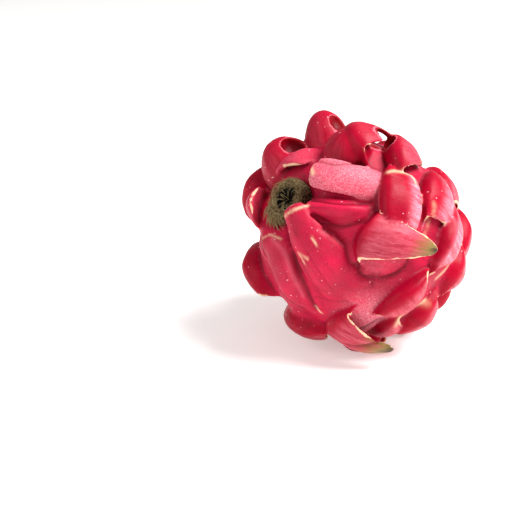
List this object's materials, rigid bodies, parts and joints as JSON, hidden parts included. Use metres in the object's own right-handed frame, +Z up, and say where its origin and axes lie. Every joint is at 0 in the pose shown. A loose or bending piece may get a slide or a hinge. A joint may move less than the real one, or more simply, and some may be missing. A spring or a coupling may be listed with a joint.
{
  "type": "red dragon fruit",
  "caption": "Whole red dragon fruit at rest on its scales, with fleshy rolled-back scales, a withered flower in the navel and a short stem stub.",
  "frame": {"origin": "in the middle of the bottom of the box, on the plane the fruit rests on", "axes": "+Z up; the fruit's own axis runs through its middle to the navel, which faces -X and 33 degrees up; +Y is the fruit's left as seen along +X"},
  "size_m": [0.111, 0.1122, 0.112],
  "materials": {
    "skin": "waxy fruit skin, crimson to pink, green at the scales' tips",
    "dried_flower": "dry, fibrous, olive brown",
    "stem": "dry green-brown stem"
  },
  "bodies": {
    "root": {"fruit": "skin", "dried_flower": "dried_flower", "stem_stub": "stem"}
  },
  "joints": []
}
